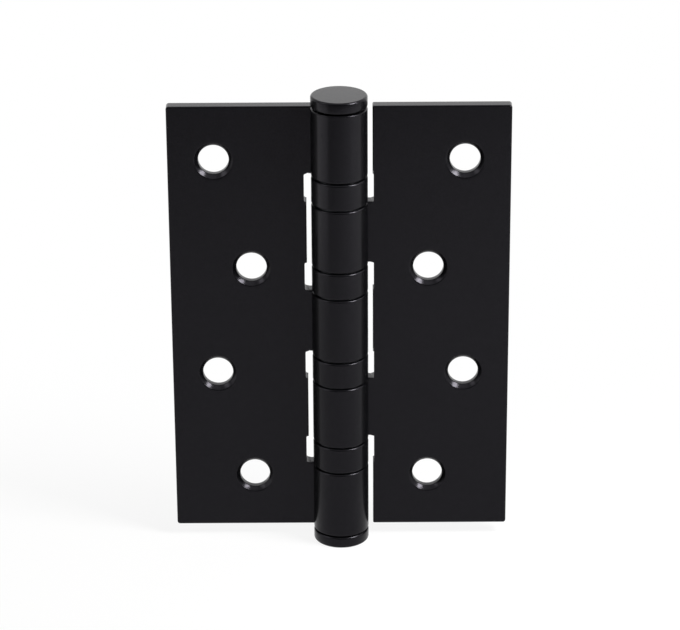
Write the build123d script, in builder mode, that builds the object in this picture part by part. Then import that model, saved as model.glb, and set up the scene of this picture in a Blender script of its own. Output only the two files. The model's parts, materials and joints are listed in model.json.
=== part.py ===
"""Ball-bearing butt hinge for a door, open flat: two leaves, a pin, two caps and four bearings.

The barrel's axis is Z with its middle at the origin. The countersunk faces look along -Y,
the frame leaf lies towards -X and the door leaf towards +X.
"""
import os
from math import atan2, degrees, sqrt

from build123d import *

# Leaves
leaf_height = 102.0
open_width = 76.0
leaf_thickness = 3.0
closed_gap = 1.6  # between the two countersunk faces when the hinge is shut
corner_radius = 0.6
edge_round = 0.3

# Screw holes, four in each leaf
screw_hole_diameter = 7.0
countersink_diameter = 8.4
countersink_angle = 90.0
hole_end_margin = 12.6  # from an end of the leaf to the nearest hole
hole_edge_margin = 10.2  # from the outer edge of the leaf to the outer column
hole_column_pitch = 8.0

# Barrel
pin_diameter = 6.5
pin_clearance = 0.05  # radial, between the pin and what turns on it
pin_end_chamfer = 0.6
pin_end_play = 0.2
swage_inner_radius = 0.5  # of the bend that sets the leaf back from the barrel
curl_seam = 0.1  # between the end of a rolled knuckle and the face of its leaf
end_knuckle_extra = 0.7  # by which an end knuckle is longer than the middle one
door_knuckle_cut = 0.5  # by which a knuckle of the door leaf is shorter than the middle one
barrel_relief = 1.05  # from a knuckle to the edge of the other leaf
frame_notch_depth = 0.55  # deeper cut beside a bearing, past the relief
door_notch_depth = 0.25
notch_corner_radius = 0.5

# Caps
cap_height = 2.65
cap_rim_round = 0.5
cap_shoulder_height = 0.3
cap_shoulder_width = 1.2
cap_stem_length = 6.0
cap_stem_chamfer = 0.5

# Bearings
bearing_height = 6.6  # between two knuckles
casing_gap = 0.25  # above and below a casing
casing_wall = 0.8
casing_round = 0.35
race_bore_clearance = 0.12
race_running_clearance = 0.12  # between a casing and the race that turns in it
press_clearance = 0.02  # left between pieces that are pressed together
ball_diameter = 1.191
ball_count = 8
ball_clearance = 0.06
groove_depth = 0.25
cage_clearance = 0.1

# Sizes that follow from those above
leaf_face = closed_gap / 2
leaf_back = leaf_face + leaf_thickness
bore_radius = pin_diameter / 2 + pin_clearance
knuckle_radius = bore_radius + leaf_thickness
half_height = leaf_height / 2
knuckle_total = leaf_height - 4 * bearing_height
middle_knuckle_length = (knuckle_total - 2 * end_knuckle_extra + 2 * door_knuckle_cut) / 5
end_knuckle_length = middle_knuckle_length + end_knuckle_extra
door_knuckle_length = middle_knuckle_length - door_knuckle_cut
knuckle_lengths = [
    end_knuckle_length,
    door_knuckle_length,
    middle_knuckle_length,
    door_knuckle_length,
    end_knuckle_length,
]
face_plane = Plane.XZ.offset(-leaf_face)
casing_bore = knuckle_radius - casing_wall
race_bore = pin_diameter / 2 + race_bore_clearance
race_gap = ball_diameter - 2 * groove_depth
ball_pitch_radius = (race_bore + casing_bore) / 2
ball_pocket_radius = ball_diameter / 2 + ball_clearance

# The swage bend is tangent to the leaf and to the outside of the rolled knuckle.
swage_outer_radius = swage_inner_radius + leaf_thickness
swage_y = leaf_back + swage_inner_radius
swage_x = -sqrt((knuckle_radius + swage_inner_radius) ** 2 - swage_y**2)
swage_angle = degrees(atan2(swage_y, swage_x))

# Heights of the five knuckles and the four bearings, from the top down
knuckle_spans = []
bearing_spans = []
level = half_height
for length in knuckle_lengths:
    knuckle_spans.append((level - length, level))
    level -= length
    if len(knuckle_spans) < len(knuckle_lengths):
        bearing_spans.append((level - bearing_height, level))
        level -= bearing_height

parts = []


def finish_piece(builder, label):
    """Name a finished piece and keep it for writing."""
    builder.part.label = label
    parts.append(builder.part)


def curl_angle(radius):
    """Angle about the barrel at which a circle of that radius reaches the curl's seam."""
    seam_y = leaf_face - curl_seam
    return degrees(atan2(seam_y, -sqrt(radius**2 - seam_y**2)))


def make_knuckle(low, high):
    """A rolled knuckle: from the leaf it bends back, then curls once round the pin."""
    bend = (swage_x, swage_y)
    bend_sweep = swage_angle - 90
    inner_sweep = curl_angle(bore_radius) - swage_angle - 360
    outer_sweep = curl_angle(knuckle_radius) - swage_angle - 360
    with BuildPart() as knuckle:
        with BuildSketch(Plane.XY.offset(low)):
            with BuildLine():
                front_bend = CenterArc(bend, swage_outer_radius, -90, bend_sweep)
                inner = CenterArc((0, 0), bore_radius, swage_angle, inner_sweep)
                outer = CenterArc((0, 0), knuckle_radius, swage_angle, outer_sweep)
                back_bend = CenterArc(bend, swage_inner_radius, -90, bend_sweep)
                Line(inner @ 1, outer @ 1)
                Line(front_bend @ 0, back_bend @ 0)
            make_face()
        extrude(amount=high - low)
        rims = knuckle.edges().filter_by(GeomType.CIRCLE).group_by(SortBy.RADIUS)[-1]
        fillet(rims, edge_round)
    return knuckle.part


def make_leaf(label, own_knuckles, notch_depth, mirrored):
    """A leaf with its rolled knuckles, the relief for the other leaf's knuckles and its holes."""
    outer_x = -open_width / 2
    relief_x = -(knuckle_radius + barrel_relief)
    notch_x = relief_x - notch_depth
    column_x = outer_x + hole_edge_margin
    top_hole = half_height - hole_end_margin
    hole_pitch = 2 * top_hole / 3
    hole_places = [(column_x + row % 2 * hole_column_pitch, top_hole - row * hole_pitch) for row in range(4)]
    knuckles = [make_knuckle(*knuckle_spans[i]) for i in own_knuckles]
    with BuildPart() as leaf:
        with BuildSketch(face_plane) as outline:
            with Locations(((outer_x + swage_x) / 2, 0)):
                Rectangle(swage_x - outer_x, leaf_height)
            fillet(outline.vertices().group_by(Axis.X)[0], corner_radius)
            for low, high in [s for i, s in enumerate(knuckle_spans) if i not in own_knuckles]:
                with Locations((relief_x / 2, (low + high) / 2)):
                    Rectangle(-relief_x, high - low, mode=Mode.SUBTRACT)
            for low, high in bearing_spans:
                with Locations((notch_x / 2, (low + high) / 2)):
                    RectangleRounded(-notch_x, high - low, notch_corner_radius, mode=Mode.SUBTRACT)
        extrude(amount=-leaf_thickness)
        fillet(leaf.edges().filter_by(Axis.Z).group_by(Axis.X)[0], edge_round)
        add(knuckles)
        with Locations(face_plane):
            with Locations(*hole_places):
                CounterSinkHole(
                    screw_hole_diameter / 2, countersink_diameter / 2, leaf_thickness, countersink_angle
                )
        if mirrored:
            mirror(about=Plane.YZ, mode=Mode.REPLACE)
    finish_piece(leaf, label)


def make_pin(label):
    """The plain pin, which ends short of the two cap stems."""
    with BuildPart() as pin:
        Cylinder(pin_diameter / 2, leaf_height - 2 * (cap_stem_length + pin_end_play))
        chamfer(pin.edges().filter_by(GeomType.CIRCLE), pin_end_chamfer)
    finish_piece(pin, label)


def make_cap(label, mirrored):
    """A flat cap: a round-rimmed head on a shoulder, with a stem that plugs the end knuckle."""
    stem_radius = bore_radius - press_clearance
    from_corner = (Align.MIN, Align.MIN)
    with BuildPart() as cap:
        with BuildSketch(Plane.XZ) as profile:
            with Locations((0, half_height - cap_stem_length)):
                Rectangle(stem_radius, cap_stem_length, align=from_corner)
            chamfer(profile.vertices().group_by(Axis.Y)[0].sort_by(Axis.X)[-1], cap_stem_chamfer)
            with Locations((0, half_height)):
                Rectangle(bore_radius + cap_shoulder_width, cap_shoulder_height, align=from_corner)
            with Locations((0, half_height + cap_shoulder_height)):
                Rectangle(knuckle_radius, cap_height, align=from_corner)
            fillet(profile.vertices().group_by(Axis.X)[-1], cap_rim_round)
        revolve(axis=Axis.Z)
        if mirrored:
            mirror(about=Plane.XY, mode=Mode.REPLACE)
    finish_piece(cap, label)


def make_casing(label, low, high):
    """The ring that covers a bearing, flush with the knuckles."""
    with BuildPart() as casing:
        with BuildSketch(Plane.XZ) as profile:
            with Locations((knuckle_radius - casing_wall / 2, (low + high) / 2)):
                Rectangle(casing_wall, high - low - 2 * casing_gap)
            fillet(profile.vertices().group_by(Axis.X)[-1], casing_round)
        revolve(axis=Axis.Z)
    finish_piece(casing, label)


def make_race(label, low, high, ball_level, outer_radius):
    """A grooved washer that seats on a knuckle and carries the balls."""
    with BuildPart() as race:
        with BuildSketch(Plane.XZ):
            with Locations(((race_bore + outer_radius) / 2, (low + high) / 2)):
                Rectangle(outer_radius - race_bore, high - low)
            with Locations((ball_pitch_radius, ball_level)):
                Circle(ball_pocket_radius, mode=Mode.SUBTRACT)
        revolve(axis=Axis.Z)
    finish_piece(race, label)


def make_cage(label, ball_level):
    """The flat ring that spaces the balls, with a round pocket for each."""
    thickness = race_gap - 2 * cage_clearance
    with BuildPart() as cage:
        with BuildSketch(Plane.XY.offset(ball_level - thickness / 2)):
            Circle(casing_bore - cage_clearance)
            Circle(race_bore + cage_clearance, mode=Mode.SUBTRACT)
            with PolarLocations(ball_pitch_radius, ball_count):
                Circle(ball_pocket_radius, mode=Mode.SUBTRACT)
        extrude(amount=thickness)
    finish_piece(cage, label)


def make_balls(label, ball_level):
    """The balls of one bearing, each a separate solid."""
    with BuildPart() as balls:
        with Locations((0, 0, ball_level)):
            with PolarLocations(ball_pitch_radius, ball_count):
                Sphere(ball_diameter / 2)
    finish_piece(balls, label)


def make_bearing(name, low, high):
    """One thrust bearing between two knuckles; its casing is pressed on the lower race."""
    ball_level = (low + high) / 2
    race_top = ball_level - race_gap / 2
    race_bottom = ball_level + race_gap / 2
    make_casing(f"{name}_casing", low, high)
    make_race(f"{name}_lower_race", low, race_top, ball_level, casing_bore - press_clearance)
    make_race(f"{name}_upper_race", race_bottom, high, ball_level, casing_bore - race_running_clearance)
    make_cage(f"{name}_cage", ball_level)
    make_balls(f"{name}_balls", ball_level)


make_leaf("frame_leaf", (0, 2, 4), frame_notch_depth, False)
make_leaf("door_leaf", (1, 3), door_notch_depth, True)
make_pin("hinge_pin")
make_cap("top_cap", False)
make_cap("bottom_cap", True)
for number, (low, high) in enumerate(bearing_spans, 1):
    make_bearing(f"bearing_{number}", low, high)

os.makedirs("parts", exist_ok=True)
for piece in parts:
    export_step(piece, f"parts/{piece.label}.step")
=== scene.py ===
"""Looks of a black ball-bearing butt hinge, open flat and standing on its lower cap.

The barrel's axis is Z with its middle at the origin. The countersunk faces look along -Y,
the frame leaf lies towards -X and the door leaf towards +X. Sizes are in millimetres, and
each finished mesh is brought to metres in one step.
"""
import json
import logging
from dataclasses import dataclass
from enum import Enum
from math import atan2, hypot, pi, radians, sqrt
from typing import Any, Iterable, Sequence

import bmesh
import bpy
from bmesh.types import BMEdge, BMesh, BMFace, BMVert
from mathutils import Matrix, Vector


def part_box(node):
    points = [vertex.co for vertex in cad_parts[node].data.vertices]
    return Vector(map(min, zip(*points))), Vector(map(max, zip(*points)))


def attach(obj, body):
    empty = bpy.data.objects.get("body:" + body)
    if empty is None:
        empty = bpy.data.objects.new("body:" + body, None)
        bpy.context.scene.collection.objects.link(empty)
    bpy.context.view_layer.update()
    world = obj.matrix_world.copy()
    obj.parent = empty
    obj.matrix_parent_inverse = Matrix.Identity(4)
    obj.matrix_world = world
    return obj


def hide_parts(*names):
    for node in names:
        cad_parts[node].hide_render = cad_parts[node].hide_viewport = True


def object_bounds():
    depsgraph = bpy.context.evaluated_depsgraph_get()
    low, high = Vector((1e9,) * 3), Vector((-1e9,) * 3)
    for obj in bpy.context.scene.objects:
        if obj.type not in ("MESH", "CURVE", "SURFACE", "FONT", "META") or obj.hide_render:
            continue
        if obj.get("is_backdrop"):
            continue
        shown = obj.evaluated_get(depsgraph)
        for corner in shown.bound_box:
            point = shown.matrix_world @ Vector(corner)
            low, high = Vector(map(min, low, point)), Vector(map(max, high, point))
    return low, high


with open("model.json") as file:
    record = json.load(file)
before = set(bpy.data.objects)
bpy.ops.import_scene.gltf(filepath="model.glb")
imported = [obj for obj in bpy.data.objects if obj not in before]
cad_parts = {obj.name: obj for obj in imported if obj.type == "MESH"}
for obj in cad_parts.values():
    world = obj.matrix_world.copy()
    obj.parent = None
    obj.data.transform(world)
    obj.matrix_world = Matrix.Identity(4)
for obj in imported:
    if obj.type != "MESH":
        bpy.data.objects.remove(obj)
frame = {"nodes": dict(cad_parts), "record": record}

log = logging.getLogger("hinge")

METRES_PER_MM = 0.001
SAME_PLACE = 1e-3  # mm, within which two points are one
SAME_WAY = 0.99  # cosine, above which two directions are one
ACROSS, DEEP, UP = Vector((1, 0, 0)), Vector((0, 1, 0)), Vector((0, 0, 1))
FULL_TURN = 2 * pi
TRUE_ARC = 0.5  # profile of a bevel that is round
WHITE = (1.0, 1.0, 1.0, 1.0)
MIX_SHARE, MIX_FIRST, MIX_SECOND, MIX_RESULT = 0, 6, 7, 2  # sockets of a Mix node for colours


class Hand(Enum):
    """The side of the barrel that a leaf lies on."""

    FRAME = -1
    DOOR = 1


class End(Enum):
    """The end of the barrel that a cap closes."""

    TOP = 1
    BOTTOM = -1


def linear(hex_colour: str) -> tuple[float, float, float, float]:
    """Turn an sRGB hex colour into linear light.

    Args:
        hex_colour: A hash and six hex digits.

    Returns:
        Red, green, blue and an alpha of one.
    """
    channels = [int(hex_colour[i:i + 2], 16) / 255 for i in (1, 3, 5)]
    light = [c / 12.92 if c <= 0.04045 else ((c + 0.055) / 1.055) ** 2.4 for c in channels]
    return (*light, 1.0)


def per_metre(size_mm: float) -> float:
    """Pattern scale whose features are that many millimetres apart."""
    return 1 / (size_mm * METRES_PER_MM)


def add_node(
    tree: bpy.types.NodeTree, kind: str, inputs: dict[Any, Any], **settings: Any
) -> bpy.types.Node:
    """Add a shader node with its settings, values and links.

    Args:
        tree: Node tree that the node joins.
        kind: Blender's name for the kind of node.
        inputs: A value or an output socket for each input, by name or number.
        settings: Properties of the node itself.

    Returns:
        The new node.
    """
    node = tree.nodes.new(kind)
    for name, value in settings.items():
        setattr(node, name, value)
    for name, value in inputs.items():
        if isinstance(value, bpy.types.NodeSocket):
            tree.links.new(value, node.inputs[name])
        else:
            node.inputs[name].default_value = value
    return node


def combine(
    tree: bpy.types.NodeTree, operation: str, first: bpy.types.NodeSocket, second: Any
) -> bpy.types.NodeSocket:
    """Work out one number from two.

    Args:
        tree: Node tree that the operation joins.
        operation: Blender's name for the operation.
        first: Socket of the first number.
        second: The second number, or its socket.

    Returns:
        Socket of the result.
    """
    return add_node(tree, "ShaderNodeMath", {0: first, 1: second}, operation=operation).outputs["Value"]


def between(
    tree: bpy.types.NodeTree, share: bpy.types.NodeSocket, least: float, most: Any
) -> bpy.types.NodeSocket:
    """Turn a share into a value between two others.

    Args:
        tree: Node tree that the value joins.
        share: Socket of the share, from zero to one.
        least: Value at a share of zero.
        most: Value at a share of one, or its socket.

    Returns:
        Socket of the value.
    """
    return add_node(
        tree, "ShaderNodeMapRange", {"Value": share, "To Min": least, "To Max": most}
    ).outputs["Result"]


def mix_colours(
    tree: bpy.types.NodeTree, share: bpy.types.NodeSocket, first: Any, second: Any
) -> bpy.types.NodeSocket:
    """Mix two colours.

    Args:
        tree: Node tree that the mix joins.
        share: Socket of the second colour's share.
        first: The first colour, or its socket.
        second: The second colour, or its socket.

    Returns:
        Socket of the mixed colour.
    """
    inputs = {MIX_SHARE: share, MIX_FIRST: first, MIX_SECOND: second}
    return add_node(tree, "ShaderNodeMix", inputs, data_type="RGBA").outputs[MIX_RESULT]


def shown_to_eye(tree: bpy.types.NodeTree) -> bpy.types.NodeSocket:
    """Tell the rays that show a surface, straight or mirrored, from those that only light others.

    Args:
        tree: Node tree of the surface.

    Returns:
        A socket that is one for camera, glossy and transmission rays, and else zero.
    """
    path = add_node(tree, "ShaderNodeLightPath", {}).outputs
    shown = path["Is Camera Ray"]
    for kind in ("Is Glossy Ray", "Is Transmission Ray"):
        shown = combine(tree, "MAXIMUM", shown, path[kind])
    return shown


def blank_material(name: str) -> bpy.types.Material:
    """Make a node material with nothing in its tree."""
    material = bpy.data.materials.new(name)
    material.use_nodes = True
    material.node_tree.nodes.clear()
    return material


@dataclass(frozen=True)
class Pattern:
    """A cloudy pattern with features of a real size."""

    size: float
    detail: float  # count of finer layers on top of the first
    harshness: float = 0.5  # strength of each layer, as a share of the one before it

    def draw(self, tree: bpy.types.NodeTree, place: bpy.types.NodeSocket) -> bpy.types.NodeSocket:
        """Draw the pattern.

        Args:
            tree: Node tree that the pattern joins.
            place: Socket of the place, in metres.

        Returns:
            Socket of the pattern, from zero to one.
        """
        return add_node(
            tree, "ShaderNodeTexNoise",
            {"Vector": place, "Scale": per_metre(self.size), "Detail": self.detail,
             "Roughness": self.harshness},
        ).outputs["Fac"]


@dataclass(frozen=True)
class PowderCoat:
    """Black polyester powder coat, sprayed dry and melted in an oven to one satin skin.

    The eye sees a near black with soft highlights and a faint violet cast on what it mirrors.
    The skin flows out with a faint orange peel, its gloss drifts a little and is mottled
    grain by grain, and a few grains never melt flat.
    """

    name: str = "black_powder_coat"
    deep_colour: str = "#050506"
    pale_colour: str = "#08080a"
    grain_colour: str = "#2e2d2b"
    least_roughness: float = 0.2
    most_roughness: float = 0.25
    least_specular: float = 0.125
    most_specular: float = 0.215
    specular_tint: str = "#f6f1ff"
    clouds: Pattern = Pattern(size=14.0, detail=3.0, harshness=0.55)
    peel: Pattern = Pattern(size=1.1, detail=2.0)
    peel_depth: float = 0.004
    mottle: Pattern = Pattern(size=0.45, detail=1.0)
    grain_spacing: float = 13.0
    grain_radius: float = 0.16
    grain_height: float = 0.03
    bare_share: float = 0.7  # of the places for a grain that stay bare

    def make(self) -> bpy.types.Material:
        """Build the coat's nodes.

        Returns:
            The finished material.
        """
        material = blank_material(self.name)
        tree = material.node_tree
        place = add_node(tree, "ShaderNodeTexCoord", {}).outputs["Object"]
        clouds = self.clouds.draw(tree, place)
        peel = self.peel.draw(tree, place)
        mottle = self.mottle.draw(tree, place)
        cells = add_node(
            tree, "ShaderNodeTexVoronoi", {"Vector": place, "Scale": per_metre(self.grain_spacing)}
        )
        rim = self.grain_radius / self.grain_spacing
        near = add_node(
            tree, "ShaderNodeMapRange",
            {"Value": cells.outputs["Distance"], "From Min": rim, "From Max": rim / 2},
        ).outputs["Result"]
        kept = combine(tree, "GREATER_THAN", cells.outputs["Color"], self.bare_share)
        grain = combine(tree, "MULTIPLY", near, kept)
        skin = mix_colours(tree, clouds, linear(self.deep_colour), linear(self.pale_colour))
        colour = mix_colours(tree, grain, skin, linear(self.grain_colour))
        roughness = between(tree, clouds, self.least_roughness, self.most_roughness)
        specular = between(tree, mottle, self.least_specular, self.most_specular)
        flow = add_node(
            tree, "ShaderNodeBump", {"Height": peel, "Distance": self.peel_depth * METRES_PER_MM}
        ).outputs["Normal"]
        bumps = add_node(
            tree, "ShaderNodeBump",
            {"Height": grain, "Distance": self.grain_height * METRES_PER_MM, "Normal": flow},
        ).outputs["Normal"]
        shader = add_node(
            tree, "ShaderNodeBsdfPrincipled",
            {"Base Color": colour, "Roughness": roughness, "Normal": bumps,
             "Specular IOR Level": specular, "Specular Tint": linear(self.specular_tint)},
        )
        add_node(tree, "ShaderNodeOutputMaterial", {"Surface": shader.outputs["BSDF"]})
        return material


@dataclass(frozen=True)
class TurnedMetal:
    """Bare metal turned or ground about the barrel's axis.

    The tool leaves fine rings round the piece, which draw the highlight out across them.
    """

    name: str
    bright_colour: str
    dull_colour: str
    least_roughness: float
    most_roughness: float
    rings: Pattern
    ring_depth: float
    stains: Pattern

    def make(self) -> bpy.types.Material:
        """Build the metal's nodes.

        Returns:
            The finished material.
        """
        material = blank_material(self.name)
        tree = material.node_tree
        place = add_node(tree, "ShaderNodeTexCoord", {}).outputs["Object"]
        axes = add_node(tree, "ShaderNodeSeparateXYZ", {"Vector": place}).outputs
        height = add_node(tree, "ShaderNodeCombineXYZ", {"Z": axes["Z"]}).outputs["Vector"]
        rings = self.rings.draw(tree, height)
        stains = self.stains.draw(tree, place)
        colour = mix_colours(tree, stains, linear(self.dull_colour), linear(self.bright_colour))
        roughness = between(tree, rings, self.least_roughness, self.most_roughness)
        grooves = add_node(
            tree, "ShaderNodeBump", {"Height": rings, "Distance": self.ring_depth * METRES_PER_MM}
        ).outputs["Normal"]
        shader = add_node(
            tree, "ShaderNodeBsdfPrincipled",
            {"Base Color": colour, "Roughness": roughness, "Normal": grooves, "Metallic": 1.0},
        )
        add_node(tree, "ShaderNodeOutputMaterial", {"Surface": shader.outputs["BSDF"]})
        return material


def box_mm(node: str) -> tuple[Vector, Vector]:
    """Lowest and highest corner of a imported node, in millimetres."""
    low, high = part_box(node)
    return low / METRES_PER_MM, high / METRES_PER_MM


def body_of(node: str) -> str:
    """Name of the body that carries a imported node."""
    bodies = frame["record"]["behaviour"]["bodies"]
    return next(body for body, nodes in bodies.items() if node in nodes)


@dataclass(frozen=True)
class Span:
    """A stretch along the barrel."""

    low: float
    high: float

    def holds(self, level: float) -> bool:
        """Whether a level lies within the stretch."""
        return self.low < level < self.high


@dataclass(frozen=True)
class HingeSizes:
    """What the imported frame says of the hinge, and what follows from it."""

    knuckles: tuple[Span, ...]
    knuckle_radius: float
    half_height: float
    outer_edge: float
    leaf_back: float
    leaf_thickness: float = 3.0

    @classmethod
    def from_frame(cls) -> "HingeSizes":
        """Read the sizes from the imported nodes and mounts.

        Returns:
            The sizes, with the knuckles from the top down.
        """
        low, high = box_mm("frame_leaf")
        back = next(m for m in frame["record"]["mounts"] if m["name"] == "frame_back")
        count = sum(name.endswith("_casing") for name in frame["nodes"])
        tops, bottoms = [high.z], []
        for number in range(1, count + 1):
            bottoms.append(box_mm(f"bearing_{number}_upper_race")[1].z)
            tops.append(box_mm(f"bearing_{number}_lower_race")[0].z)
        bottoms.append(low.z)
        return cls(
            knuckles=tuple(Span(b, t) for b, t in zip(bottoms, tops)),
            knuckle_radius=-low.y,
            half_height=high.z,
            outer_edge=-low.x,
            leaf_back=back["pos_m"][1] / METRES_PER_MM,
        )

    @property
    def leaf_face(self) -> float:
        """Depth of the countersunk face."""
        return self.leaf_back - self.leaf_thickness

    @property
    def bore_radius(self) -> float:
        """Inside of a rolled knuckle."""
        return self.knuckle_radius - self.leaf_thickness


def round_off(
    bm: BMesh, sharp: Iterable[BMEdge | BMVert], radius: float, segments: int, affect: str = "EDGES"
) -> None:
    """Round edges, or the corners of a flat face, to a radius.

    Args:
        bm: Mesh that holds them.
        sharp: Edges or corners to round.
        radius: Radius of the round, in millimetres.
        segments: Faces across the round.
        affect: Blender's name for what is rounded, EDGES or VERTICES.
    """
    bmesh.ops.bevel(
        bm, geom=list(sharp), offset=radius, offset_type="OFFSET", segments=segments,
        profile=TRUE_ARC, affect=affect, clamp_overlap=False, material=-1,
    )


def close_up(bm: BMesh) -> None:
    """Merge the points that meet and turn all faces outwards."""
    bmesh.ops.remove_doubles(bm, verts=bm.verts, dist=SAME_PLACE)
    bmesh.ops.recalc_face_normals(bm, faces=bm.faces)


def as_object(bm: BMesh, name: str, material: bpy.types.Material) -> bpy.types.Object:
    """Bring a mesh to metres and make a smooth object of it.

    Args:
        bm: Mesh in millimetres, which is used up.
        name: Name of the object and of its mesh.
        material: Finish of all its faces.

    Returns:
        The object, in the scene.
    """
    bmesh.ops.scale(bm, vec=Vector.Fill(3, METRES_PER_MM), verts=bm.verts)
    mesh = bpy.data.meshes.new(name)
    bm.to_mesh(mesh)
    bm.free()
    mesh.shade_smooth()
    mesh.materials.append(material)
    made = bpy.data.objects.new(mesh.name, mesh)
    bpy.context.scene.collection.objects.link(made)
    return made


def turn_profile(
    bm: BMesh, points: Sequence[Vector], centre: Vector, axis: Vector, steps: int, closed: bool
) -> None:
    """Turn a profile once round an axis into a surface.

    Args:
        bm: Mesh that gains the surface.
        points: Corners of the profile, in order.
        centre: A point on the axis.
        axis: Direction of the axis.
        steps: Faces round the axis.
        closed: Whether the last corner joins the first.
    """
    verts = [bm.verts.new(p) for p in points]
    pairs = zip(verts, verts[1:] + verts[:1] if closed else verts[1:])
    edges = [bm.edges.new(pair) for pair in pairs]
    bmesh.ops.spin(
        bm, geom=verts + edges, cent=centre, axis=axis, angle=FULL_TURN, steps=steps, use_merge=True
    )


def ring_edges(bm: BMesh, radius: float, level: float) -> list[BMEdge]:
    """Edges of the circle round the barrel at a radius and a level."""
    def on_ring(co: Vector) -> bool:
        return abs(hypot(co.x, co.y) - radius) < SAME_PLACE and abs(co.z - level) < SAME_PLACE

    return [e for e in bm.edges if all(on_ring(v.co) for v in e.verts)]


@dataclass(kw_only=True)
class CoatedPiece:
    """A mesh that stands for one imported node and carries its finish."""

    node: str
    material: bpy.types.Material
    slot: str = "black_coat"
    sharp_angle: float = radians(40)

    def settle(self, bm: BMesh) -> bpy.types.Object:
        """Close a mesh, bring it to metres and put it in its node's place.

        Args:
            bm: Mesh in millimetres, which is used up.

        Returns:
            The finished object.
        """
        close_up(bm)
        piece = as_object(bm, f"coated_{self.node}", self.material)
        piece.data.set_sharp_from_angle(angle=self.sharp_angle)
        flats = piece.modifiers.new("flats", "WEIGHTED_NORMAL")
        flats.keep_sharp = True
        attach(piece, body_of(self.node))
        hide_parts(self.node)
        log.info("%s: %d faces on %s", piece.name, len(piece.data.polygons), body_of(self.node))
        return piece


@dataclass(frozen=True)
class Corner:
    """A corner of a leaf's outline, seen on its countersunk face."""

    x: float
    z: float
    radius: float = 0.0


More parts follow.
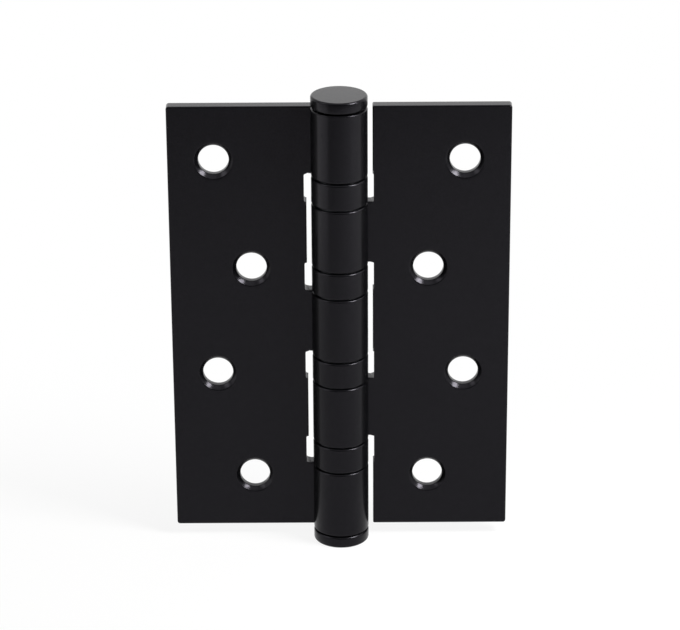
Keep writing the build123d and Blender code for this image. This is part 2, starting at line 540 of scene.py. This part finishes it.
@dataclass(kw_only=True)
class Leaf(CoatedPiece):
    """A leaf as it is made: a stamped blank whose tabs are rolled round the pin."""

    sizes: HingeSizes
    hand: Hand
    own_knuckles: tuple[int, ...]
    notch_depth: float
    corner_radius: float = 0.6
    inner_corner_radius: float = 0.3
    edge_round: float = 0.3
    knuckle_round: float = 0.45  # of the rims beside a bearing
    round_segments: int = 4
    barrel_relief: float = 1.05
    notch_round_share: float = 0.8  # of a notch's depth, which the round in its corners takes up
    run_out: float = 0.6  # straight length past the end of a rounded edge
    long_edge: float = 0.9  # length past which an edge is no run-out
    swage_inner_radius: float = 0.5
    swage_steps: int = 12
    curl_seam: float = 0.1
    curl_steps: int = 96
    countersink_radius: float = 4.3
    lip_width: float = 0.8
    lip_round: float = 0.12
    lip_angle: float = radians(30)  # least turn of the surface at a lip
    coat_build: float = 0.1  # by which the coat narrows a hole
    land: float = 1.5  # straight length of a hole, before the punch broke out
    break_out: float = 0.35  # by which a hole is wider at the back
    hole_steps: int = 72

    @property
    def relief_x(self) -> float:
        """Edge of the leaf beside a knuckle of the other leaf."""
        return -(self.sizes.knuckle_radius + self.barrel_relief)

    @property
    def notch_x(self) -> float:
        """Edge of the leaf beside a bearing."""
        return self.relief_x - self.notch_depth

    @property
    def notch_radius(self) -> float:
        """Round in the inner corners of a notch."""
        return self.notch_round_share * self.notch_depth

    @property
    def swage(self) -> Vector:
        """Centre of the bend that sets the leaf back from the barrel."""
        y = self.sizes.leaf_back + self.swage_inner_radius
        return Vector((-sqrt((self.sizes.knuckle_radius + self.swage_inner_radius) ** 2 - y**2), y, 0))

    def outline(self) -> list[Corner]:
        """Corners of the blank up to where its tabs begin to bend.

        Returns:
            Corners in order, for a leaf on the frame's side.
        """
        half, tab_x = self.sizes.half_height, self.swage.x
        shoulder_x = self.notch_x + self.notch_radius + self.run_out
        corners = [Corner(-self.sizes.outer_edge, half, self.corner_radius)]
        for number, span in enumerate(self.sizes.knuckles):
            at_top, at_bottom = number == 0, span is self.sizes.knuckles[-1]
            if number in self.own_knuckles:
                corners += [] if at_top else [Corner(shoulder_x, span.high)]
                corners += [Corner(tab_x, span.high), Corner(tab_x, span.low)]
                corners += [] if at_bottom else [Corner(shoulder_x, span.low)]
            else:
                end_radius = self.inner_corner_radius
                corners += [Corner(self.relief_x, span.high, end_radius if at_top else 0)]
                corners += [] if at_top else [Corner(self.relief_x, span.high - self.run_out)]
                corners += [] if at_bottom else [Corner(self.relief_x, span.low + self.run_out)]
                corners += [Corner(self.relief_x, span.low, end_radius if at_bottom else 0)]
            if not at_bottom:
                below = self.sizes.knuckles[number + 1].high
                corners += [Corner(self.notch_x, z, self.notch_radius) for z in (span.low, below)]
        return corners + [Corner(-self.sizes.outer_edge, -half, self.corner_radius)]

    def is_rounded(self, edge: BMEdge) -> bool:
        """Whether an edge of the blank is one that the press and the coat leave round.

        Args:
            edge: Edge of the blank before its tabs are rolled.

        Returns:
            True for the long edges of both faces and the corners at their ends.
        """
        first, second = (v.co for v in edge.verts)
        if abs(first.y - second.y) > SAME_PLACE:
            return False
        middle = (first + second) / 2
        if middle.x < self.corner_radius - self.sizes.outer_edge:
            return True
        if middle.x > self.swage.x - SAME_PLACE:
            return False
        if abs(middle.z) > self.sizes.half_height - self.inner_corner_radius:
            return True
        return edge.calc_length() > self.long_edge and middle.x > self.notch_x + SAME_PLACE

    def is_rim(self, edge: BMEdge) -> bool:
        """Whether a rounded edge of the blank becomes a knuckle's rim beside a bearing.

        Args:
            edge: Edge of the blank before its tabs are rolled.

        Returns:
            True for the long edges of the tabs, but for those that run on along the leaf's ends.
        """
        first, second = (v.co for v in edge.verts)
        inside = abs(first.z) < self.sizes.half_height - self.inner_corner_radius
        return inside and abs(first.z - second.z) < SAME_PLACE

    def stamp(self) -> BMesh:
        """Stamp the blank, with its rounded corners, thickness and edges.

        Returns:
            The blank, whose tabs end in flat faces.
        """
        bm = bmesh.new()
        corners = self.outline()
        verts = [bm.verts.new((c.x, self.sizes.leaf_face, c.z)) for c in corners]
        bm.faces.new(verts)
        for radius in sorted({c.radius for c in corners if c.radius}):
            tips = [v for v, c in zip(verts, corners) if c.radius == radius]
            round_off(bm, tips, radius, self.round_segments, affect="VERTICES")
        extruded = bmesh.ops.extrude_face_region(bm, geom=bm.faces[:], use_keep_orig=True)
        moved = [v for v in extruded["geom"] if isinstance(v, BMVert)]
        bmesh.ops.translate(bm, verts=moved, vec=DEEP * self.sizes.leaf_thickness)
        bmesh.ops.recalc_face_normals(bm, faces=bm.faces)
        rounded = [e for e in bm.edges if self.is_rounded(e)]
        rims = [e for e in rounded if self.is_rim(e)]
        others = [e for e in rounded if not self.is_rim(e)]
        round_off(bm, others, self.edge_round, self.round_segments)
        round_off(bm, rims, self.knuckle_round, self.round_segments)
        return bm

    def tab_end(self, bm: BMesh, span: Span) -> BMFace:
        """Flat end of a tab that is still to be rolled."""
        ends = (f for f in bm.faces if f.normal.x > SAME_WAY and span.holds(f.calc_center_median().z))
        return max(ends, key=lambda f: f.calc_center_median().x)

    def roll_tabs(self, bm: BMesh) -> None:
        """Bend each tab back behind the barrel, then curl it round the pin to its own leaf.

        Args:
            bm: The blank, whose tabs become knuckles.
        """
        seam = self.sizes.leaf_face - self.curl_seam
        swage_angle = atan2(self.swage.y, self.swage.x)
        radius = self.sizes.knuckle_radius
        curl = atan2(seam, -sqrt(radius**2 - seam**2)) - swage_angle - FULL_TURN
        for number in self.own_knuckles:
            end = self.tab_end(bm, self.sizes.knuckles[number])
            bend = bmesh.ops.spin(
                bm, geom=[end, *end.edges, *end.verts], cent=self.swage, axis=UP,
                angle=swage_angle - pi / 2, steps=self.swage_steps,
            )
            rolled = bmesh.ops.spin(
                bm, geom=bend["geom_last"], cent=Vector(), axis=UP, angle=curl, steps=self.curl_steps
            )
            for vert in (v for v in rolled["geom_last"] if isinstance(v, BMVert)):
                reach = hypot(vert.co.x, vert.co.y)
                vert.co.x, vert.co.y = -sqrt(reach**2 - seam**2), seam

    def hole_places(self) -> list[tuple[float, float, float]]:
        """Screw holes of this leaf.

        Returns:
            X and Z of each hole, as if on the frame's side, and its radius.
        """
        places = []
        for mount in frame["record"]["mounts"]:
            if mount["kind"] == "bolt_pattern" and mount["pos_m"][0] * self.hand.value > 0:
                x, _, z = (c / METRES_PER_MM for c in mount["pos_m"])
                reach = mount["dims"]["spacing_y_mm"] / 2
                radius = mount["dims"]["hole_r_mm"]
                places += [(-abs(x), level, radius) for level in (z - reach, z + reach)]
        return places

    def countersink(self, bm: BMesh, x: float, z: float, radius: float) -> None:
        """Turn one countersunk hole with a collar of both faces round its lips.

        Args:
            bm: Mesh that gains the hole.
            x: Place of the hole across the leaf.
            z: Level of the hole.
            radius: Radius of the bare hole.
        """
        face, back = self.sizes.leaf_face, self.sizes.leaf_back
        bore = radius - self.coat_build
        cone_end = face + self.countersink_radius - bore
        back_radius = bore + self.break_out
        profile = [
            (self.countersink_radius + self.lip_width, face), (self.countersink_radius, face),
            (bore, cone_end), (bore, cone_end + self.land),
            (back_radius, back), (back_radius + self.lip_width, back),
        ]
        hole = bmesh.new()
        points = [Vector((x + reach, depth, z)) for reach, depth in profile]
        turn_profile(hole, points, Vector((x, 0, z)), DEEP, self.hole_steps, closed=False)
        lips = [
            e for e in hole.edges
            if not e.is_boundary and abs(e.verts[0].co.y - e.verts[1].co.y) < SAME_PLACE
            and e.calc_face_angle() > self.lip_angle
        ]
        round_off(hole, lips, self.lip_round, self.round_segments)
        scratch = bpy.data.meshes.new("hole")
        hole.to_mesh(scratch)
        hole.free()
        bm.from_mesh(scratch)
        bpy.data.meshes.remove(scratch)

    def drill(self, bm: BMesh) -> None:
        """Open both flat faces and fill them again round the screw holes.

        Args:
            bm: Leaf with its knuckles rolled.
        """
        bm.normal_update()
        depths = (self.sizes.leaf_face, self.sizes.leaf_back)
        for depth in depths:
            flats = [f for f in bm.faces if all(abs(v.co.y - depth) < SAME_PLACE for v in f.verts)]
            bmesh.ops.delete(bm, geom=[max(flats, key=BMFace.calc_area)], context="FACES_ONLY")
        for place in self.hole_places():
            self.countersink(bm, *place)
        for depth, outwards in zip(depths, (-DEEP, DEEP)):
            rims = [
                e for e in bm.edges
                if e.is_boundary and all(abs(v.co.y - depth) < SAME_PLACE for v in e.verts)
            ]
            bmesh.ops.triangle_fill(bm, edges=rims, use_beauty=True, normal=outwards)

    def build(self) -> bpy.types.Object:
        """Stamp, roll, drill and coat the leaf.

        Returns:
            The finished leaf.
        """
        bm = self.stamp()
        self.roll_tabs(bm)
        self.drill(bm)
        if self.hand is Hand.DOOR:
            bmesh.ops.scale(bm, vec=Vector((-1, 1, 1)), verts=bm.verts)
        return self.settle(bm)


@dataclass(kw_only=True)
class Cap(CoatedPiece):
    """A flat cap: a round-rimmed head on a shoulder, with a stem that plugs the barrel."""

    sizes: HingeSizes
    end: End
    shoulder_height: float = 0.3
    shoulder_width: float = 1.2
    stem_clearance: float = 0.02
    stem_chamfer: float = 0.5
    rim_round: float = 0.5
    round_segments: int = 6
    steps: int = 144

    def build(self) -> bpy.types.Object:
        """Turn the cap from its profile and round its rims.

        Returns:
            The finished cap.
        """
        low, high = box_mm(self.node)
        half, bore = self.sizes.half_height, self.sizes.bore_radius
        stem_end, top = sorted((abs(low.z), abs(high.z)))
        outer, head = high.x, half + self.shoulder_height
        stem, shoulder = bore - self.stem_clearance, bore + self.shoulder_width
        profile = [
            (0, stem_end), (stem, stem_end), (stem, half), (shoulder, half), (shoulder, head),
            (outer, head), (outer, top), (0, top),
        ]
        bm = bmesh.new()
        points = [Vector((reach, 0, level)) for reach, level in profile]
        turn_profile(bm, points, Vector(), UP, self.steps, closed=False)
        close_up(bm)
        round_off(bm, ring_edges(bm, stem, stem_end), self.stem_chamfer, segments=1)
        for level in (head, top):
            round_off(bm, ring_edges(bm, outer, level), self.rim_round, self.round_segments)
        bmesh.ops.scale(bm, vec=Vector((1, 1, self.end.value)), verts=bm.verts)
        return self.settle(bm)


@dataclass(kw_only=True)
class Casing(CoatedPiece):
    """The ring that covers a bearing between two knuckles."""

    wall: float = 0.8
    outer_round: float = 0.45
    inner_round: float = 0.12
    round_segments: int = 5
    steps: int = 144

    def build(self) -> bpy.types.Object:
        """Turn the ring from its section and round its rims.

        Returns:
            The finished casing.
        """
        low, high = box_mm(self.node)
        outer, inner = high.x, high.x - self.wall
        section = [(inner, low.z), (outer, low.z), (outer, high.z), (inner, high.z)]
        bm = bmesh.new()
        points = [Vector((reach, 0, level)) for reach, level in section]
        turn_profile(bm, points, Vector(), UP, self.steps, closed=True)
        close_up(bm)
        for reach, radius in ((outer, self.outer_round), (inner, self.inner_round)):
            for level in (low.z, high.z):
                round_off(bm, ring_edges(bm, reach, level), radius, self.round_segments)
        return self.settle(bm)


@dataclass(frozen=True)
class InnerWorks:
    """The pin and the insides of the bearings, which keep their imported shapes."""

    # Hardened steel, ground on a wheel: bright, with close rings that dull it a little.
    steel: TurnedMetal = TurnedMetal(
        name="ground_steel", bright_colour="#b4b7bb", dull_colour="#9a9da2",
        least_roughness=0.22, most_roughness=0.34, rings=Pattern(size=0.25, detail=2.0),
        ring_depth=0.002, stains=Pattern(size=3.0, detail=3.0),
    )
    # Chrome steel, lapped to a mirror, under a film of oil.
    balls: TurnedMetal = TurnedMetal(
        name="lapped_chrome_steel", bright_colour="#cdd0d4", dull_colour="#c2c5c9",
        least_roughness=0.05, most_roughness=0.09, rings=Pattern(size=0.3, detail=2.0),
        ring_depth=0.0002, stains=Pattern(size=1.5, detail=3.0),
    )
    # Rolled brass sheet, punched: warm yellow, dulled in patches where it has tarnished.
    brass: TurnedMetal = TurnedMetal(
        name="punched_brass", bright_colour="#c9a65a", dull_colour="#a98745",
        least_roughness=0.28, most_roughness=0.4, rings=Pattern(size=0.4, detail=2.0),
        ring_depth=0.001, stains=Pattern(size=2.0, detail=3.0),
    )

    def dress(self) -> None:
        """Give each inner node its metal."""
        steel, balls, brass = (finish.make() for finish in (self.steel, self.balls, self.brass))
        metals = {"pin": steel, "race": steel, "balls": balls, "cage": brass}
        for name, node in sorted(frame["nodes"].items()):
            metal = metals.get(name.rsplit("_", 1)[-1])
            if metal:
                node.data.materials.clear()
                node.data.materials.append(metal)
                log.info("%s: packed shape in %s", name, metal.name)


@dataclass(frozen=True)
class PaperSweep:
    """White paper that the hinge stands on, curving up far behind it."""

    colour: str = "#f4f4f3"
    roughness: float = 0.9
    white_from: float = 120.0  # from here back the paper glows pure white, to the eye and in mirrors
    dim_from: float = -450.0  # and from here forwards the glow is gone and a mirror shows only what the lamps light; between, the glow fades out as painted shade towards the camera's side
    least_white: float = 0.75  # share of white that the camera is shown anywhere
    reach: float = 3000.0
    wall_distance: float = 1300.0
    wall_height: float = 1200.0
    curve_radius: float = 300.0
    curve_steps: int = 16

    def paper(self) -> bpy.types.Material:
        """Matt white card with a white glow mixed in, which leaves little more than the shadows on it.
        The glow fades out towards the camera's side, painted shade that shows mostly in what mirrors
        the card.

        Returns:
            The finished material.
        """
        material = blank_material("white_paper")
        tree = material.node_tree
        paper = add_node(
            tree, "ShaderNodeBsdfPrincipled",
            {"Base Color": linear(self.colour), "Roughness": self.roughness},
        )
        white = add_node(tree, "ShaderNodeEmission", {"Color": WHITE, "Strength": 1.0})
        place = add_node(tree, "ShaderNodeTexCoord", {}).outputs["Object"]
        depth = add_node(tree, "ShaderNodeSeparateXYZ", {"Vector": place}).outputs["Y"]
        # Painted glow: the card glows pure white far behind the hinge and fades out towards the
        # camera's side, painting shade there
        painted_glow = add_node(
            tree, "ShaderNodeMapRange",
            {"Value": depth, "From Min": self.dim_from * METRES_PER_MM,
             "From Max": self.white_from * METRES_PER_MM},
            interpolation_type="SMOOTHSTEP",
        ).outputs["Result"]
        camera_ray = add_node(tree, "ShaderNodeLightPath", {}).outputs["Is Camera Ray"]
        seen = combine(tree, "MULTIPLY", camera_ray, self.least_white)
        white_share = combine(tree, "MAXIMUM", painted_glow, seen)
        share = combine(tree, "MULTIPLY", shown_to_eye(tree), white_share)
        glowing_card = add_node(
            tree, "ShaderNodeMixShader",
            {0: share, 1: paper.outputs["BSDF"], 2: white.outputs["Emission"]},
        )
        add_node(tree, "ShaderNodeOutputMaterial", {"Surface": glowing_card.outputs["Shader"]})
        return material

    def build(self, level: float) -> bpy.types.Object:
        """Lay the paper at a level and sweep its far edge upwards.

        Args:
            level: Height of the surface, in millimetres.

        Returns:
            The sweep, marked as stage.
        """
        bm = bmesh.new()
        bmesh.ops.create_grid(bm, x_segments=1, y_segments=1, size=self.reach)
        far = self.wall_distance - self.curve_radius
        for vert in bm.verts:
            vert.co.y = min(vert.co.y, far)
        bmesh.ops.translate(bm, verts=bm.verts, vec=UP * level)
        edge = [e for e in bm.edges if all(abs(v.co.y - far) < SAME_PLACE for v in e.verts)]
        curve = bmesh.ops.spin(
            bm, geom=edge + list(edge[0].verts), cent=Vector((0, far, level + self.curve_radius)),
            axis=ACROSS, angle=pi / 2, steps=self.curve_steps,
        )
        last = [e for e in curve["geom_last"] if isinstance(e, BMEdge)]
        wall = bmesh.ops.extrude_edge_only(bm, edges=last)
        moved = [v for v in wall["geom"] if isinstance(v, BMVert)]
        bmesh.ops.translate(bm, verts=moved, vec=UP * self.wall_height)
        bmesh.ops.recalc_face_normals(bm, faces=bm.faces)
        sweep = as_object(bm, "paper_sweep", self.paper())
        sweep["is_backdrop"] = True
        return sweep


@dataclass(frozen=True)
class Softbox:
    """A soft lamp with a flat front."""

    name: str
    place: tuple[float, float, float]
    looks_at: tuple[float, float, float]
    width: float
    height: float
    watts: float

    def hang(self) -> bpy.types.Object:
        """Put the lamp in its place.

        Returns:
            The lamp.
        """
        light = bpy.data.lights.new(self.name, "AREA")
        light.shape = "RECTANGLE"
        light.size, light.size_y = self.width * METRES_PER_MM, self.height * METRES_PER_MM
        light.energy = self.watts
        lamp = bpy.data.objects.new(self.name, light)
        bpy.context.scene.collection.objects.link(lamp)
        lamp.location = Vector(self.place) * METRES_PER_MM
        away = Vector(self.place) - Vector(self.looks_at)
        lamp.rotation_euler = away.to_track_quat("Z", "Y").to_euler()
        return lamp


@dataclass(frozen=True)
class Studio:
    """A white room, dark behind the camera, with a lamp and a low card on each side and two panels."""

    lamps: tuple[Softbox, ...] = (
        Softbox(
            name="right_softbox", place=(271.0, -132.0, 262.0), looks_at=(0.0, 0.0, 0.0),
            width=150.0, height=150.0, watts=2.6,
        ),
        Softbox(
            name="left_softbox", place=(-349.0, -124.0, 306.0), looks_at=(0.0, 0.0, 0.0),
            width=170.0, height=170.0, watts=0.27,
        ),
        Softbox(
            name="right_card", place=(170.0, -60.0, -4.0), looks_at=(0.0, 0.0, -4.0),
            width=160.0, height=96.0, watts=0.013,
        ),
        Softbox(
            name="left_card", place=(-170.0, -60.0, -4.0), looks_at=(0.0, 0.0, -4.0),
            width=160.0, height=96.0, watts=0.037,
        ),
        Softbox(
            name="top_panel", place=(0.0, -175.0, 415.0), looks_at=(0.0, 0.0, 0.0),
            width=260.0, height=160.0, watts=0.08,
        ),
        Softbox(
            name="back_panel", place=(300.0, 700.0, 260.0), looks_at=(300.0, 0.0, 260.0),
            width=1200.0, height=620.0, watts=1.25,
        ),
    )
    room_strength: float = 0.05
    dark_strength: float = 0.1  # of the room's dark side, in a mirror
    dark_from: float = -0.8  # Y of a direction, below which the room is dark
    white_from: float = -0.5  # and above which it is white

    def light(self) -> None:
        """Hang the lamps and light the room, shown white but for the camera's side."""
        for lamp in self.lamps:
            lamp.hang()
        world = bpy.data.worlds.new("white_room")
        world.use_nodes = True
        world.node_tree.nodes.clear()
        tree = world.node_tree
        way = add_node(tree, "ShaderNodeTexCoord", {}).outputs["Object"]
        depth = add_node(tree, "ShaderNodeSeparateXYZ", {"Vector": way}).outputs["Y"]
        shown = add_node(
            tree, "ShaderNodeMapRange",
            {"Value": depth, "From Min": self.dark_from, "From Max": self.white_from,
             "To Min": self.dark_strength, "To Max": 1.0},
        ).outputs["Result"]
        strength = between(tree, shown_to_eye(tree), self.room_strength, shown)
        room = add_node(tree, "ShaderNodeBackground", {"Color": WHITE, "Strength": strength})
        add_node(tree, "ShaderNodeOutputWorld", {"Surface": room.outputs["Background"]})
        bpy.context.scene.world = world
        bpy.context.scene.view_settings.view_transform = "Standard"


@dataclass(frozen=True)
class PhotoCamera:
    """The photograph's viewpoint, fitted to the hinge's edges in a picture 680 pixels wide."""

    place: tuple[float, float, float] = (1.56, -631.0, 269.1)
    down: float = radians(22.965)
    turned_left: float = radians(0.145)
    tilted: float = radians(-0.348)
    focal_length_px: float = 3047.5
    picture_width_px: float = 680.0
    sensor_width: float = 36.0

    def aim(self) -> bpy.types.Object:
        """Make the camera and look through it.

        Returns:
            The camera.
        """
        data = bpy.data.cameras.new("photo_camera")
        data.sensor_width = self.sensor_width
        data.lens = self.focal_length_px / self.picture_width_px * self.sensor_width
        camera = bpy.data.objects.new(data.name, data)
        bpy.context.scene.collection.objects.link(camera)
        turn = (
            Matrix.Rotation(self.turned_left, 4, "Z")
            @ Matrix.Rotation(pi / 2 - self.down, 4, "X")
            @ Matrix.Rotation(self.tilted, 4, "Z")
        )
        camera.matrix_world = Matrix.Translation(Vector(self.place) * METRES_PER_MM) @ turn
        bpy.context.scene.camera = camera
        return camera


def as_lists(bounds: Iterable[Sequence[float]]) -> list[list[float]]:
    """Plain lists of the numbers in a pair of corners."""
    return [[float(c) for c in corner] for corner in bounds]


def main() -> None:
    """Build the hinge, its stage, its lights and its camera."""
    logging.basicConfig(level=logging.INFO, format="%(message)s")
    cad_bounds = as_lists(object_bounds())
    sizes = HingeSizes.from_frame()
    coat = PowderCoat().make()
    Leaf(
        node="frame_leaf", material=coat, sizes=sizes, hand=Hand.FRAME,
        own_knuckles=(0, 2, 4), notch_depth=0.55,
    ).build()
    Leaf(
        node="door_leaf", material=coat, sizes=sizes, hand=Hand.DOOR,
        own_knuckles=(1, 3), notch_depth=0.25,
    ).build()
    Cap(node="top_cap", material=coat, sizes=sizes, end=End.TOP).build()
    Cap(node="bottom_cap", material=coat, sizes=sizes, end=End.BOTTOM).build()
    for number in range(1, len(sizes.knuckles)):
        Casing(node=f"bearing_{number}_casing", material=coat).build()
    InnerWorks().dress()
    floor_level = cad_bounds[0][2] / METRES_PER_MM
    PaperSweep().build(floor_level)
    Studio().light()
    PhotoCamera().aim()


if __name__ == "__main__":
    main()
